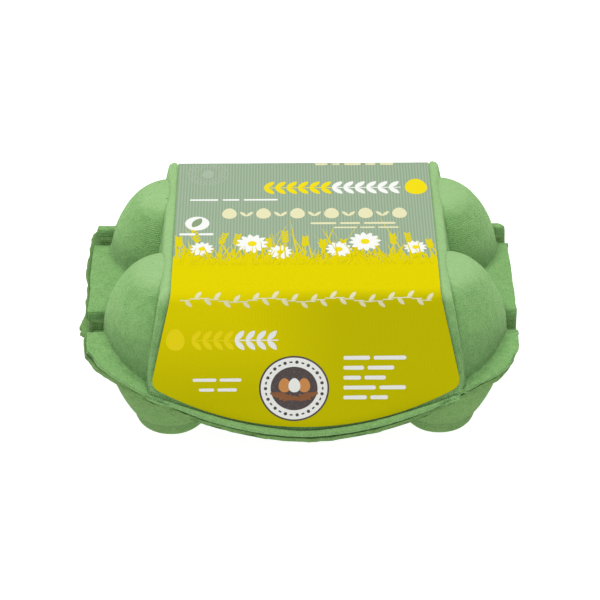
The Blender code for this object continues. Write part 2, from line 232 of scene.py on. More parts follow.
@dataclass(frozen=True)
class PulpFinish:
    """Green moulded pulp: mottled, flecked, fuzzy, with the forming screen's print on its sides, a painted
    highlight on its tops and painted shade in its creases, recesses and seam.
    """

    name: str = "pulp_green"
    pale: Colour = (0.274, 0.482, 0.186)
    deep: Colour = (0.140, 0.315, 0.094)
    # Dark green of the pulp's own flecks, also mixed in as painted shade.
    dark_fleck_and_painted_shade: Colour = (0.055, 0.120, 0.045)
    tan_fleck: Colour = (0.420, 0.370, 0.180)
    # Painted highlight: above these heights the tops are mixed towards a paler green, standing in for light
    # on them.
    painted_top_light: Colour = (0.345, 0.550, 0.250)
    painted_top_light_heights: Point2 = (0.0605, 0.0650)
    painted_top_light_share: float = 0.62
    # Painted shade: how far the mesh's shade map darkens the pulp.
    painted_shade_share: float = 0.62
    mottle_per_metre: float = 420.0
    mottle_share: float = 0.28
    grain_per_metre: float = 2300.0
    grain_share: float = 0.60
    fibres_per_metre: float = 2600.0
    fibre_stretch: Point3 = (1.0, 0.45, 0.7)
    dark_cells_per_metre: float = 330.0
    tan_cells_per_metre: float = 264.0
    screen_pitch: float = 0.0006
    screen_share: float = 0.14
    steep_normals: Point2 = (0.90, 0.60)
    roughness: float = 0.95
    specular: float = 0.10
    sheen: float = 0.62
    sheen_roughness: float = 0.4
    sheen_tint: Colour = (0.58, 0.92, 0.42)
    bump_strength: float = 0.75
    bump_depth: float = 0.00030

    def flecks(self, bench: Bench, cells: float, size: float, share: float) -> Socket:
        """Scatter small specks.

        Args:
            bench: the material.
            cells: cells in a metre, at most one speck each.
            size: a speck's radius as a share of its cell.
            share: share of the cells that have one.

        Returns:
            1 on a speck, 0 elsewhere.
        """
        dots = bench.add("ShaderNodeTexVoronoi", {"Scale": cells, "Vector": bench.place})
        spot = bench.step(dots.outputs["Distance"], size, size * 0.6)
        return bench.times(spot, bench.math("LESS_THAN", bench.hues(dots.outputs["Color"])[0], share))

    def screen(self, bench: Bench) -> Socket:
        """Draw the fine print of the forming screen: level and upright lines on steep sides.

        Args:
            bench: the material.

        Returns:
            About -2 to 2 across the lines, 0 where there are none.
        """
        x, y, z = bench.split(bench.place)
        turns = math.tau / self.screen_pitch
        across = bench.plus(bench.math("ABSOLUTE", x), y)
        upright = bench.math("SINE", bench.times(across, turns * 0.75))
        lines = bench.plus(bench.math("SINE", bench.times(z, turns)), upright)
        normal = bench.split(bench.add("ShaderNodeNewGeometry").outputs["Normal"])
        steep = bench.step(bench.math("ABSOLUTE", normal[2]), *self.steep_normals)
        patches = bench.step(bench.noise(60.0, 1.0), 0.34, 0.58)
        return bench.times(lines, bench.times(steep, patches))

    def make(self) -> bpy.types.Material:
        """Build the material.

        Returns:
            The pulp material.
        """
        bench = Bench(self.name)
        mottle = bench.step(bench.noise(self.mottle_per_metre, 5.0), 0.30, 0.70)
        grain = bench.step(bench.noise(self.grain_per_metre, 4.0), 0.34, 0.66)
        screen = self.screen(bench)
        shade = bench.total(
            (mottle, self.mottle_share), (grain, self.grain_share), (screen, self.screen_share)
        )
        # Painted highlight: a paler green mixed into the tops by height.
        top_light_mask = bench.step(bench.split(bench.place)[2], *self.painted_top_light_heights)
        # Painted shade: the mesh's map darkens creases, recesses and the seam line.
        hollow = bench.add("ShaderNodeAttribute", attribute_name=Moulding.PAINTED_SHADE_MAP).outputs["Fac"]
        dark = self.flecks(bench, self.dark_cells_per_metre, 0.15, 0.14)
        tan = self.flecks(bench, self.tan_cells_per_metre, 0.14, 0.08)
        colour = bench.mix(shade, self.deep, self.pale)
        # The first two mixes are painted light and shade; the last two are the pulp's own specks.
        for where, share, tint in (
            (top_light_mask, self.painted_top_light_share, self.painted_top_light),
            (hollow, self.painted_shade_share, self.dark_fleck_and_painted_shade),
            (dark, 0.60, self.dark_fleck_and_painted_shade),
            (tan, 0.40, self.tan_fleck),
        ):
            colour = bench.mix(bench.times(where, share), colour, tint)
        bench.feed(bench.shader, {
            "Base Color": colour,
            "Roughness": self.roughness,
            "Specular IOR Level": self.specular,
            "Sheen Weight": self.sheen,
            "Sheen Roughness": self.sheen_roughness,
            "Sheen Tint": self.sheen_tint,
        })
        fibres = bench.noise(self.fibres_per_metre, 2.0, self.fibre_stretch)
        height = bench.total((mottle, 0.9), (grain, 0.7), (fibres, 1.0), (screen, 0.28))
        bench.bump(height, self.bump_strength, self.bump_depth)
        return bench.material


@dataclass(frozen=True)
class GrassRow:
    """One row of printed grass: how close, how tall, how wide and how far over its blades stand."""

    pitch: float
    low: float
    high: float
    lean: float
    fill: float
    seed: float


@dataclass(frozen=True)
class LabelFinish:
    """Printed paper: ribbed grey-green behind, yellow in front, read from the label's own map."""

    name: str = "label_paper"
    meadow_yellow: Colour = (0.580, 0.495, 0.001)
    bright_yellow: Colour = (0.600, 0.520, 0.001)
    dull_yellow: Colour = (0.450, 0.412, 0.001)
    sage: Colour = (0.225, 0.305, 0.210)
    sage_rib: Colour = (0.285, 0.370, 0.265)
    rib_pitch: float = 0.00105
    dull_below_fold: Point2 = (0.004, 0.040)
    dull_right: Point2 = (-0.030, 0.018)
    fold_blend: float = 0.002
    tufts_per_metre: float = 90.0
    tallness_power: float = 1.6
    tallness_gain: float = 1.5
    grain: Colour = (0.20, 0.19, 0.02)
    grain_per_metre: float = 2200.0
    grain_share: float = 0.06
    lumps_per_metre: float = 160.0
    roughness: float = 0.60
    rows: tuple[GrassRow, ...] = (
        GrassRow(0.0011, 0.0030, 0.0095, 0.25, 1.30, 3.1),
        GrassRow(0.0014, 0.0040, 0.0130, -0.20, 1.10, 17.7),
        GrassRow(0.0017, 0.0040, 0.0175, 0.50, 0.90, 29.3),
        GrassRow(0.0021, 0.0050, 0.0200, -0.45, 0.80, 41.9),
        GrassRow(0.0024, 0.0060, 0.0245, 0.12, 0.46, 53.3),
        GrassRow(0.0029, 0.0060, 0.0275, -0.28, 0.36, 67.1),
        GrassRow(0.0037, 0.0070, 0.0285, 0.35, 0.28, 83.9),
    )

    def grass(self, bench: Bench, across: Socket, up: Socket, row: GrassRow) -> Socket:
        """Draw a row of pointed blades.

        Args:
            bench: the material.
            across: distance across the label.
            up: distance along the label from the row's feet.
            row: the row.

        Returns:
            1 on a blade, 0 between blades.
        """
        leaning = bench.plus(across, bench.times(up, row.lean))
        turn = bench.plus(bench.times(leaning, 1.0 / row.pitch), row.seed)
        cell = bench.math("FLOOR", turn)
        draw = {"W": bench.plus(cell, row.seed * 3.0)}
        chance = bench.add("ShaderNodeTexWhiteNoise", draw, noise_dimensions="1D")
        spread = {"Scale": self.tufts_per_metre, "W": bench.plus(across, row.seed)}
        tuft = bench.add("ShaderNodeTexNoise", spread, noise_dimensions="1D")
        swell = bench.step(tuft.outputs["Fac"], 0.25, 0.75)
        tallness = bench.times(bench.math("POWER", chance.outputs["Value"], self.tallness_power), swell)
        height = bench.plus(bench.times(tallness, (row.high - row.low) * self.tallness_gain), row.low)
        share = bench.math("DIVIDE", up, height)
        sway = bench.times(bench.minus(bench.hues(chance.outputs["Color"])[1], 0.5), 0.5)
        middle = bench.plus(bench.times(sway, share), 0.5)
        off = bench.math("ABSOLUTE", bench.minus(bench.minus(turn, cell), middle))
        return bench.math("LESS_THAN", off, bench.times(bench.minus(1.0, share), row.fill / 2))

    def yellow(self, bench: Bench, across: Socket, along: Socket, fold: float) -> Socket:
        """Shade the yellow: bright on top and at the front's upper left, duller below and right.

        Args:
            bench: the material.
            across: distance across the label.
            along: distance along the label.
            fold: where the front fold is along it.

        Returns:
            The colour.
        """
        start, end = self.dull_below_fold
        lower = bench.step(along, fold - start, fold - end)
        dull = bench.math("MAXIMUM", bench.step(across, *self.dull_right), lower)
        front = bench.mix(dull, self.bright_yellow, self.dull_yellow)
        folded = bench.step(along, fold - self.fold_blend, fold + self.fold_blend)
        return bench.mix(folded, front, self.meadow_yellow)

    def make(self, fold: float, horizon: float) -> bpy.types.Material:
        """Build the material.

        Args:
            fold: distance along the label, from its front edge, of the front fold.
            horizon: distance along the label at which the solid yellow ends and the grass begins.

        Returns:
            The paper material.
        """
        bench = Bench(self.name)
        place = bench.split(bench.add("ShaderNodeUVMap", uv_map=WrapLabel.MAP_NAME).outputs[0])
        across = bench.times(bench.minus(place[0], 0.5), WrapLabel.MAP_METRES)
        along = bench.times(place[1], WrapLabel.MAP_METRES)
        ribs = bench.step(bench.math("SINE", bench.times(across, math.tau / self.rib_pitch)), -0.8, 0.8)
        up = bench.minus(along, horizon)
        printed = bench.math("LESS_THAN", up, 0.0)
        for row in self.rows:
            printed = bench.math("MAXIMUM", printed, self.grass(bench, across, up, row))
        sage = bench.mix(ribs, self.sage, self.sage_rib)
        fields = bench.mix(printed, sage, self.yellow(bench, across, along, fold))
        grain = bench.step(bench.noise(self.grain_per_metre, 2.0), 0.3, 0.7)
        colour = bench.mix(bench.times(grain, self.grain_share), fields, self.grain)
        bench.feed(
            bench.shader, {"Base Color": colour, "Roughness": self.roughness, "Specular IOR Level": 0.0}
        )
        lumps = bench.noise(self.lumps_per_metre, 1.0)
        bench.bump(bench.total((lumps, 3.0), (ribs, 0.25)), 0.25, 0.0002)
        return bench.material


@dataclass(frozen=True)
class InkFinish:
    """One flat printing ink, a little uneven where the paper shows through."""

    name: str
    colour: Colour
    paper: Colour = (0.42, 0.39, 0.21)
    wear: float = 0.10
    thin_spots_per_metre: float = 1900.0
    roughness: float = 0.55

    def make(self) -> bpy.types.Material:
        """Build the material.

        Returns:
            The ink material.
        """
        bench = Bench(self.name)
        thin = bench.step(bench.noise(self.thin_spots_per_metre, 3.0), 0.45, 0.75)
        colour = bench.mix(bench.times(thin, self.wear), self.colour, self.paper)
        bench.feed(
            bench.shader, {"Base Color": colour, "Roughness": self.roughness, "Specular IOR Level": 0.0}
        )
        return bench.material


class Ink(Enum):
    """The inks of the printed design, each with its finish."""

    YELLOW = InkFinish("ink_yellow", (0.580, 0.495, 0.001))
    LIGHT_YELLOW = InkFinish("ink_light_yellow", (0.680, 0.560, 0.006))
    MIST = InkFinish("ink_mist", (0.300, 0.370, 0.285))
    SAGE = InkFinish("ink_sage", (0.200, 0.280, 0.160))
    CREAM = InkFinish("ink_cream", (0.620, 0.600, 0.380))
    WHITE = InkFinish("ink_white", (0.700, 0.710, 0.680))
    PLUM = InkFinish("ink_plum", (0.075, 0.060, 0.062))
    BROWN = InkFinish("ink_brown", (0.220, 0.090, 0.040))
    ORANGE = InkFinish("ink_orange", (0.500, 0.220, 0.070))


@dataclass
class CartonForm:
    """The moulding's shape, as two heights over its outline: the lid's top and the tray's underside.

    The sizes are those of the solids. Lengths are about the midline between the two rows of cups.
    """

    half_length: float = 0.0750
    pitch_x: float = 0.0470
    pitch_y: float = 0.0454
    front: float = -0.0556
    corner: float = -0.0389
    front_power: float = 2.8
    back: float = 0.0495
    back_corner: float = 0.0350
    back_round_start: float = 0.0420
    back_round_end: float = 0.0685
    end_bow: float = 0.0012
    end_shift: float = -0.0009
    right_hollow: float = 0.0009
    corner_rounds: Point2 = (0.0007, 0.0060)
    right_fullness: float = 0.0019
    left_fullness: float = 0.0013
    left_lean: float = 0.4
    even_margin: float = 0.0010
    inset_span: Point2 = (0.060, 0.074)
    shift_span: Point2 = (0.058, 0.070)
    front_span: Point2 = (-0.028, -0.036)
    bulge_span: Point2 = (-0.008, 0.014)
    bulge_end_span: Point2 = (0.038, 0.030)
    left_full_span: Point2 = (0.046, 0.058)
    left_lean_span: Point2 = (0.0690, 0.0745)
    right_full_span: Point2 = (0.058, 0.068)
    hollow_span: Point2 = (0.028, 0.018)
    rim_height: float = 0.0400
    front_rim_height: float = 0.0166
    dip_power: float = 1.66
    front_rim_width: float = 0.0034
    corner_rim_width: float = 0.0026
    apron_slope: float = 0.3
    apron_top: float = -0.0330
    lid_layer: float = 0.0013
    tray_layer: float = 0.0018
    seam: float = 0.0005
    recesses: tuple[Point2, Point2] = ((-0.0283, -0.0183), (0.0233, 0.0312))
    recess_depth: float = 0.0060
    recess_wall: float = 0.0006
    recess_start: float = 0.0655
    recess_ramp: float = 0.004
    lip_span: Point2 = (0.0742, 0.0750)
    rib_width: float = 0.0038
    rib_height: float = 0.0010
    rib_ramp: float = 0.0008
    front_rib_share: float = 0.45
    web_height: float = 0.0240
    keel_drop: float = 0.0060
    keel_span: Point2 = (-0.040, -0.033)
    web_end_span: Point2 = (0.0685, 0.0600)
    web_back_span: Point2 = (0.0430, 0.0370)
    web_front_run: float = 0.006
    web_edge_span: Point2 = (0.0005, 0.0055)
    dome_radius: float = 0.0222
    dome_spring: float = 0.0394
    dome_rise: float = 0.0302
    dome_side_power: float = 1.25
    dome_rise_power: float = 1.12
    dome_top_rise: float = 0.0262
    dome_top_power: float = 12.0
    dome_skirt_drop: float = 0.0200
    dome_skirt_flare: float = 0.0012
    dome_fillet: float = 0.0010
    dome_crease_span: Point2 = (-0.004, -0.010)
    saddle_top: float = 0.0655
    saddle_half_depth: float = 0.0400
    saddle_middle: float = 0.0006
    saddle_half_width: float = 0.0481
    side_slope: float = 0.20
    panel_slope: float = 0.28
    saddle_round: float = 0.0034
    label_half_width: float = 0.04465
    label_flare: float = 0.238
    shoulder_rise: float = 0.0008
    shoulder_span: Point2 = (0.0002, 0.0009)
    strip_foot_drop: float = 0.0070
    strip_foot_end: float = 0.0320
    strip_foot_top: float = 0.0430
    groove_width: float = 0.0007
    groove_slope: float = 0.24
    side_groove: float = 0.0007
    foot_groove: float = 0.0010
    foot_groove_span: Point2 = (-0.038, -0.046)
    groove_fade: Point2 = (0.001, 0.003)
    dome_groove: float = 0.0006
    foot_radius: float = 0.0090
    shoulder_radius: float = 0.0128
    shoulder_height: float = 0.0034
    waist_radius: float = 0.0137
    waist_height: float = 0.0064
    brim_radius: float = 0.0222
    brim_height: float = 0.0370
    brim_slope: float = 16.0
    swell_power: float = 1.2

    @property
    def midline(self) -> float:
        """Return how far back of the origin the midline between the rows of cups lies."""
        return -(self.front + self.back) / 2

    def end_reach(self, x: float) -> float:
        """Return how far out x is: 0 at the middle, 1 at an end."""
        return min(abs(x) / self.half_length, 1.0)

    def front_edge(self, x: float) -> float:
        """Return the rim's front edge at x."""
        return mix(self.front, self.corner, self.end_reach(x) ** self.front_power)

    def back_edge(self, x: float) -> float:
        """Return the rim's back edge at x: straight, then a quarter ellipse, then the end."""
        into = clamp((abs(x) - self.back_round_start) / (self.back_round_end - self.back_round_start))
        return mix(self.back_corner, self.back, math.sqrt(1.0 - into * into))

    def rim_width(self, x: float) -> float:
        """Return the width of the rim's flat at the front."""
        return mix(self.front_rim_width, self.corner_rim_width, self.end_reach(x) ** 4)

    def end_share(self, x: float) -> float:
        """Return 1 over the ends of the rim, where the recesses are, and 0 inside."""
        return blend(self.recess_start - self.recess_ramp, self.recess_start, abs(x))

    def recess_share(self, x: float, y: float) -> float:
        """Return 1 inside an end recess and 0 outside, with a steep ramp on its walls."""
        into = max(min(y - near, far - y) / self.recess_wall + 0.5 for near, far in self.recesses)
        return clamp(into) * self.end_share(x)

    def rib_share(self, x: float, y: float) -> float:
        """Find the raised ribs beside the end recesses.

        Args:
            x: place along the carton.
            y: place across it.

        Returns:
            1 on the rib behind a recess, less on the one before it, 0 elsewhere.
        """
        raised = 0.0
        for near, far in self.recesses:
            behind = clamp(min(y - far, far + self.rib_width - y) / self.rib_ramp)
            before = clamp(min(near - y, y - near + 0.4 * self.rib_width) / self.rib_ramp)
            raised = max(raised, behind, self.front_rib_share * before)
        return raised * self.end_share(x)

    def seam_height(self, x: float, y: float) -> float:
        """Find the height at which the lid's rim lies on the tray's rim.

        Args:
            x: place along the carton.
            y: place across it.

        Returns:
            The height.
        """
        share = self.end_reach(x)
        edge = mix(self.front_rim_height, self.rim_height, share ** self.dip_power)
        width = self.rim_width(x)
        inner = min(edge + width * self.apron_slope * share ** 3, self.rim_height)
        from_edge = y - self.front_edge(x)
        if from_edge <= width:
            height = mix(edge, inner, max(from_edge, 0.0) / width)
        else:
            rest = min((from_edge - width) / (self.apron_top - self.front_edge(x) - width), 1.0)
            height = mix(inner, self.rim_height, rest)
        return height - self.recess_depth * self.recess_share(x, y)

    def dome_height(self, reach: float) -> float:
        """Find a dome's height.

        Args:
            reach: distance from the dome's middle.

        Returns:
            The height, which goes on down its skirt past the dome's radius.
        """
        if reach >= self.dome_radius:
            fall = (reach - self.dome_radius) * self.dome_skirt_drop / self.dome_skirt_flare
            return self.dome_spring - fall
        level = (reach / self.dome_radius) ** (1.0 / self.dome_side_power)
        rise = self.dome_rise * math.sqrt(1.0 - level * level) ** self.dome_rise_power
        soft = (1.0 + (rise / self.dome_top_rise) ** self.dome_top_power) ** (1.0 / self.dome_top_power)
        return self.dome_spring + rise / soft

    def rounded_drop(self, beyond: float, slope: float) -> float:
        """Return how far a sloping side has fallen, past the rounded edge of a flat top.

        Args:
            beyond: distance past the sharp corner that the rounding replaces.
            slope: run for each unit of fall.

        Returns:
            The fall below the top.
        """
        turn = math.radians(90.0) - math.atan(slope)
        radius = self.saddle_round / math.tan(turn / 2)
        into = beyond + self.saddle_round
        if into <= 0.0:
            return 0.0
        if into < radius * math.sin(turn):
            return radius - math.sqrt(radius * radius - into * into)
        return beyond / slope

    def saddle_height(self, x: float, y: float, proud: float = 0.0) -> float:
        """Return the height of the raised block that carries the label.

        Args:
            x: place along the carton.
            y: place across it.
            proud: how far the block's top and panels are moved outwards.

        Returns:
            The height.
        """
        width = self.saddle_half_width - self.side_slope * proud
        depth = self.saddle_half_depth + (math.hypot(1.0, self.panel_slope) - self.panel_slope) * proud
        side = self.rounded_drop(abs(x) - width, self.side_slope)
        panel = self.rounded_drop(abs(y - self.saddle_middle) - depth, self.panel_slope)
        return self.saddle_top + proud - (side ** 5 + panel ** 5) ** 0.2

    def label_reach(self, height: float) -> float:
        """Return half the label's width at a height."""
        return self.label_half_width + self.label_flare * max(self.saddle_top - height - 0.0005, 0.0)

    def shouldered_saddle(self, x: float, y: float) -> float:
        """Find the saddle's height with the shoulders that stand up beside the label.

        Args:
            x: place along the carton.
            y: place across it.

        Returns:
            The height.
        """
        height = self.saddle_height(x, y)
        reach = self.label_reach(height)
        near, far = self.shoulder_span
        share = blend(reach + near, reach + far, abs(x))
        if share > 0.0:
            height = self.saddle_height(x, y, self.shoulder_rise * share)
            if y < 0.0:
                drop = self.strip_foot_drop * share
                height -= drop * blend(self.strip_foot_top, self.strip_foot_end, height)
        return height

    def fillet(self, gap: float, radius: float) -> float:
        """Find the rise of a hollow fillet.

        Args:
            gap: distance from the wall that it runs up.
            radius: its radius.

        Returns:
            The rise above the floor that it runs out on.
        """
        if gap >= radius:
            return 0.0
        return radius - math.sqrt(max(radius * radius - (radius - max(gap, 0.0)) ** 2, 0.0))

    def lid_height(self, x: float, y: float) -> float:
        """Find the lid's top surface.

        Args:
            x: place along the carton.
            y: place across it.

        Returns:
            The height.
        """
        rim = self.seam_height(x, y) + self.seam / 2 + self.lid_layer + self.rib_height * self.rib_share(x, y)
        height = rim
        if abs(x) > self.pitch_x / 2:
            row = math.copysign(self.pitch_y / 2, y)
            reach = math.hypot(abs(x) - self.pitch_x, y - row)
            wall = self.dome_radius + (self.dome_spring - rim) * self.dome_skirt_flare / self.dome_skirt_drop
            crease = blend(*self.dome_crease_span, y - row)
            foot = self.fillet(reach - wall, self.dome_fillet) * (1.0 - crease)
            foot -= self.dome_groove * crease * blend(self.groove_width, 0.0, reach - wall)
            height = max(rim + foot, self.dome_height(reach))
        saddle = self.shouldered_saddle(x, y)
        gap = (height - saddle) * self.groove_slope
        if 0.0 < gap < self.groove_width:
            depth = mix(self.side_groove, self.foot_groove, blend(*self.foot_groove_span, y))
            depth *= blend(*self.groove_fade, self.saddle_top - height)
            height -= depth * blend(self.groove_width, self.groove_width * 0.3, gap)
        return max(height, saddle)

    def cup_height(self, reach: float) -> float:
        """Find the underside of a cup.

        Args:
            reach: distance from the cup's middle.

        Returns:
            The height.
        """
        if reach <= self.foot_radius:
            return 0.0
        if reach < self.shoulder_radius:
            turn = math.asin((reach - self.foot_radius) / (self.shoulder_radius - self.foot_radius))
            return self.shoulder_height * (1.0 - math.cos(turn))
        if reach < self.waist_radius:
            share = (reach - self.shoulder_radius) / (self.waist_radius - self.shoulder_radius)
            return mix(self.shoulder_height, self.waist_height, share)
        if reach < self.brim_radius:
            swell = (reach - self.waist_radius) / (self.brim_radius - self.waist_radius)
            rise = (math.asin(swell) / math.radians(90.0)) ** self.swell_power
            return mix(self.waist_height, self.brim_height, rise)
        return self.brim_height + (reach - self.brim_radius) * self.brim_slope

    def web_depth(self, x: float, y: float) -> float:
        """Find how far the web between the cups reaches below the tray's rim.

        Args:
            x: place along the carton.
            y: place across it.

        Returns:
            The depth.
        """
        inner = self.front_edge(x) + self.rim_width(x)
        share = blend(*self.web_end_span, abs(x)) * blend(*self.web_back_span, y)
        share *= blend(inner, inner + self.web_front_run, y)
        share *= blend(*self.web_edge_span, self.back_edge(abs(x) + 0.002) - y)
        keel = min(self.web_height, self.seam_height(x, inner) - self.keel_drop)
        target = mix(keel, self.web_height, blend(*self.keel_span, y))
        return share * max(self.seam_height(x, y) - self.tray_layer - target, 0.0)

    def tray_height(self, x: float, y: float) -> float:
        """Find the tray's underside.

        Args:
            x: place along the carton.
            y: place across it.

        Returns:
            The height.
        """
        lip = self.recess_depth * self.recess_share(x, y) * blend(*self.lip_span, -x)
        web = self.seam_height(x, y) + lip - self.seam / 2 - self.tray_layer - self.web_depth(x, y)
        column = min(max(round(x / self.pitch_x), -1), 1) * self.pitch_x
        row = math.copysign(self.pitch_y / 2, y)
        return min(web, self.cup_height(math.hypot(x - column, y - row)))


@dataclass
class Moulding:
    """One layer of the carton: a sheet of pulp, pressed to a height and cut along a rough edge."""

    # The map holds painted shade: creases, recesses, dome feet and a band inside the cut edge.
    PAINTED_SHADE_MAP = "painted_shade_map"
    # Painted shade: a band from about 0.2 to 2.5 mm inside the cut edge, for the seam between lid and tray.
    SEAM_SHADE_NEAR = (0.0002, 0.0007)
    SEAM_SHADE_FAR = (0.0025, 0.0016)

    name: str
    form: CartonForm
    height: Callable[[float, float], float]
    layer: float
    faces_up: bool
    column_bands: Sequence[Band]
    row_bands: Sequence[Band]
    seed: float
    ragged: float
    coarse: float = 0.00090
    insets: Point2 = (0.0, 0.0)
    torn_tip: float = 0.0
    back_bulge: float = 0.0
    wave_size: float = 0.0055
    wave_gain: float = 1.6
    fringe_size: float = 0.0016
    fringe_share: float = 0.45
    front_cut: float = 1.1
    front_cut_span: Point2 = (-0.046, -0.052)
    tip_start: Point2 = (0.0005, 0.0040)
    tip_end: Point2 = (0.0030, -0.0010)
    tip_side: float = -0.06
    tip_fringe_size: float = 0.0012
    edge_lift: float = 0.6
    edge_lift_size: float = 0.009
    smoothing: float = 0.35
    sag: float = 0.00030
    sag_size: float = 0.022
    pucker: float = 0.00012
    pucker_size: float = 0.005
    # Painted shade: how deep a crease sinks before it is fully darkened, and how dark creases, recesses and
    # dome feet are painted.
    sunk_for_full_shade: float = 0.00007
    line_shade: float = 0.55
    recess_shade: float = 0.75
    recess_fade: Point2 = (0.006, 0.002)
    crease_shade: float = 0.40
    crease_reach: float = 0.0036
    crease_fade: Point2 = (0.056, 0.046)
    foot_height: float = 0.0002

    def lines(self) -> tuple[list[float], list[float]]:
        """Place the sheet's grid lines.

        Returns:
            X of each column, and Y of each row before the front and back rows are stretched.
        """
        half = self.form.half_length
        bands = [(-high, -low, step) for low, high, step in self.column_bands] + list(self.column_bands)
        columns = stations(-half, half, bands, self.coarse)
        rows = stations(self.form.front, self.form.back, self.row_bands, self.coarse)
        return columns, rows

    def placed(self, x: float, y: float) -> Point2:
        """Draw a grid point in to the carton's outline, bow its ends and round its corners.

        Args:
            x: column.
            y: row, between the outline's lowest and highest Y.

        Returns:
            The point's own X and Y.
        """
        form = self.form
        top, bottom = form.recesses[1][1] + form.even_margin, form.apron_top
        front, back = form.front_edge(x), form.back_edge(x)
        if y < bottom:
            y = mix(bottom, front, (y - bottom) / (form.front - bottom))
        elif y > top:
            y = mix(top, back, (y - top) / (form.back - top))
        radius = form.corner_rounds[0 if x < 0.0 else 1]
        out = max(abs(x) - form.half_length + radius, 0.0) / radius
        for edge, way in ((front, -1.0), (back, 1.0)):
            up = max(way * (y - edge) + radius, 0.0) / radius
            if out > 0.0 and up > 0.0:
                pull = 1.0 - max(out, up) / math.hypot(out, up)
                x -= math.copysign(pull * out * radius, x)
                y -= way * pull * up * radius
        share = form.end_reach(x) ** 4
        drawn = form.end_bow * share * (y / form.corner) ** 2
        drawn += self.insets[0 if x < 0.0 else 1] * blend(*form.inset_span, abs(x))
        if x < 0.0:
            drawn -= self.back_bulge * share * blend(*form.bulge_span, y) * blend(*form.bulge_end_span, y)
            near, far = form.left_lean_span
            full = blend(far, near, -x) * blend(*form.left_full_span, -x)
            full -= form.left_lean * blend(near, far, -x)
            y -= form.left_fullness * full * blend(*form.front_span, y)
        else:
            drawn += form.right_hollow * share * blend(*form.hollow_span, y)
            y -= form.right_fullness * blend(*form.right_full_span, x) * blend(*form.front_span, y)
        side = -1.0 if x < 0.0 else 1.0
        return x - side * drawn + form.end_shift * blend(*form.shift_span, abs(x)), y

    def rough_edge(self, x: float, y: float) -> float:
        """Find how far the torn edge stands out.

        Args:
            x: place along the outline.
            y: place across it.

        Returns:
            The distance outwards, less than 0 where the edge is cut back.
        """
        waves = ripple(x, y, self.wave_size, self.seed)
        waves += self.fringe_share * ripple(x, y, self.fringe_size, self.seed + 5.0)
        near, far = self.form.recesses[0]
        tip = blend(near + self.tip_start[0], near + self.tip_start[1], y)
        tip *= blend(far + self.tip_end[0], far + self.tip_end[1], y)
        tip *= self.torn_tip if x < self.tip_side else 0.0
        tip *= 1.0 + ripple(x, y, self.tip_fringe_size, self.seed + 3.0)
        cut = self.ragged * self.front_cut * blend(*self.front_cut_span, y)
        return self.ragged * waves * self.wave_gain - cut + tip

    def build(self, finish: bpy.types.Material) -> bpy.types.Object:
        """Press and cut the sheet.

        Args:
            finish: the pulp material.

        Returns:
            The layer, which stands for the carton's solid.
        """
        form = self.form
        columns, rows = self.lines()
        bm = bmesh.new()
        shade_layer = bm.verts.layers.float.new(self.PAINTED_SHADE_MAP)
        bmesh.ops.create_grid(bm, x_segments=len(columns) - 1, y_segments=len(rows) - 1, size=1.0)
        for vert in bm.verts:
            column = columns[round((vert.co.x + 1.0) / 2 * (len(columns) - 1))]
            row = rows[round((vert.co.y + 1.0) / 2 * (len(rows) - 1))]
            x, y = self.placed(column, row)
            sag = self.sag * ripple(x, y, self.sag_size, self.seed)
            sag += self.pucker * ripple(x, y, self.pucker_size, self.seed + 2.0)
            vert.co = (x, y, self.height(x, y) + sag * (0.0 if self.resting(x, y) else 1.0))
            # Painted shade: a band just inside the cut edge, at the left end and the front, darkened for the
            # seam between lid and tray; it is kept on the tray.
            inwards = min(form.half_length + column, y - form.front_edge(x))
            vert[shade_layer] = blend(*self.SEAM_SHADE_NEAR, inwards) * blend(*self.SEAM_SHADE_FAR, inwards)
        if not self.faces_up:
            bmesh.ops.reverse_faces(bm, faces=bm.faces)
        inner = [vert for vert in bm.verts if not vert.is_boundary and not self.resting(vert.co.x, vert.co.y)]
        bmesh.ops.smooth_vert(
            bm, verts=inner, factor=self.smoothing, use_axis_x=True, use_axis_y=True, use_axis_z=True
        )
        self.paint_shade(bm, inner)
        self.fray(bm)
        self.thicken(bm)
        bmesh.ops.translate(bm, verts=bm.verts, vec=(0.0, form.midline, 0.0))
        piece = to_object(self.name, bm, finish)
        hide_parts("carton")
        return piece

    def paint_shade(self, bm: bmesh.types.BMesh, inner: Sequence[bmesh.types.BMVert]) -> None:
        """Paint shade into the sheet's map at each point: sunken creases, and on the lid its recesses and
        dome feet.

        Args:
            bm: the sheet, before it has its thickness.
            inner: its points inside the outline.
        """
        shade_layer = bm.verts.layers.float[self.PAINTED_SHADE_MAP]
        bm.normal_update()
        for vert in inner:
            near = [edge.other_vert(vert).co for edge in vert.link_edges]
            sunk = (sum(near, Vector()) / len(near) - vert.co).dot(vert.normal)
            line = self.line_shade * clamp(sunk / self.sunk_for_full_shade)
            vert[shade_layer] = max(line, self.sheltered(vert.co)) if self.faces_up else max(line, vert[shade_layer])

    def sheltered(self, place: Vector) -> float:
        """Find how much shade to paint at a point of the lid: in a recess, or by a dome's foot.

        Args:
            place: the point.

        Returns:
            0 in the open, more where more shade is painted.
        """
        form = self.form
        start, end = self.recess_fade
        low = blend(form.rim_height + start, form.rim_height + end, place.z)
        recess = self.recess_shade * form.recess_share(place.x, place.y) * low
        if abs(place.x) < form.pitch_x / 2:
            return recess
        reach = math.hypot(abs(place.x) - form.pitch_x, abs(place.y) - form.pitch_y / 2)
        crease = blend(self.crease_reach, 0.0, abs(reach - form.dome_radius))
        return max(recess, self.crease_shade * (crease * blend(*self.crease_fade, place.z)))

    def resting(self, x: float, y: float) -> bool:
        """Tell whether a point is part of a cup's flat foot."""
        return not self.faces_up and self.height(x, y) < self.foot_height

